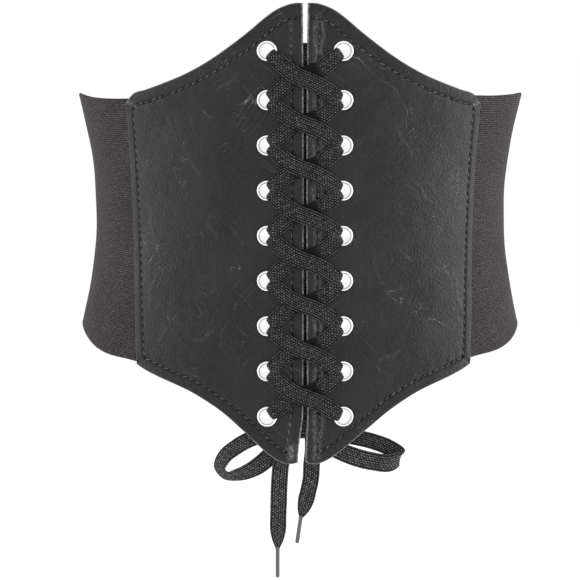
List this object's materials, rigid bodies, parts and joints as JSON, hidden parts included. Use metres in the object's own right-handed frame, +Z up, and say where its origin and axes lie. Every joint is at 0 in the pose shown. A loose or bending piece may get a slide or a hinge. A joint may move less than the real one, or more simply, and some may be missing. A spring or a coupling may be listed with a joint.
{
  "type": "laced corset belt",
  "caption": "Wide corset belt with two pointed leather front panels, elastic sides and a flat lace through metal eyelets, tied in a bow.",
  "frame": {"origin": "middle of the waist hollow, at the height of the narrowest waist", "axes": "+Z up along the wearer's body, the laced front faces -Y, +X to the right seen from the front"},
  "size_m": [0.2374, 0.1815, 0.2926],
  "materials": {
    "black_leather": "satin grained",
    "black_elastic": "matt ribbed",
    "black_braid": "matt braided",
    "nickel_eyelet": "bright plated",
    "grey_aglet": "moulded"
  },
  "bodies": {
    "root": {"left_front_panel": "black_leather", "left_elastic_band": "black_elastic", "left_eyelet_1": "nickel_eyelet", "left_eyelet_2": "nickel_eyelet", "left_eyelet_3": "nickel_eyelet", "left_eyelet_4": "nickel_eyelet", "left_eyelet_5": "nickel_eyelet", "left_eyelet_6": "nickel_eyelet", "left_eyelet_7": "nickel_eyelet", "left_eyelet_8": "nickel_eyelet", "left_eyelet_9": "nickel_eyelet", "right_front_panel": "black_leather", "right_elastic_band": "black_elastic", "right_eyelet_1": "nickel_eyelet", "right_eyelet_2": "nickel_eyelet", "right_eyelet_3": "nickel_eyelet", "right_eyelet_4": "nickel_eyelet", "right_eyelet_5": "nickel_eyelet", "right_eyelet_6": "nickel_eyelet", "right_eyelet_7": "nickel_eyelet", "right_eyelet_8": "nickel_eyelet", "right_eyelet_9": "nickel_eyelet", "back_closure_strip": "black_leather", "lace": "black_braid", "bow_knot": "black_braid", "left_bow_loop": "black_braid", "right_bow_loop": "black_braid", "left_lace_end": "black_braid", "right_lace_end": "black_braid", "left_aglet": "grey_aglet", "right_aglet": "grey_aglet"}
  },
  "joints": []
}
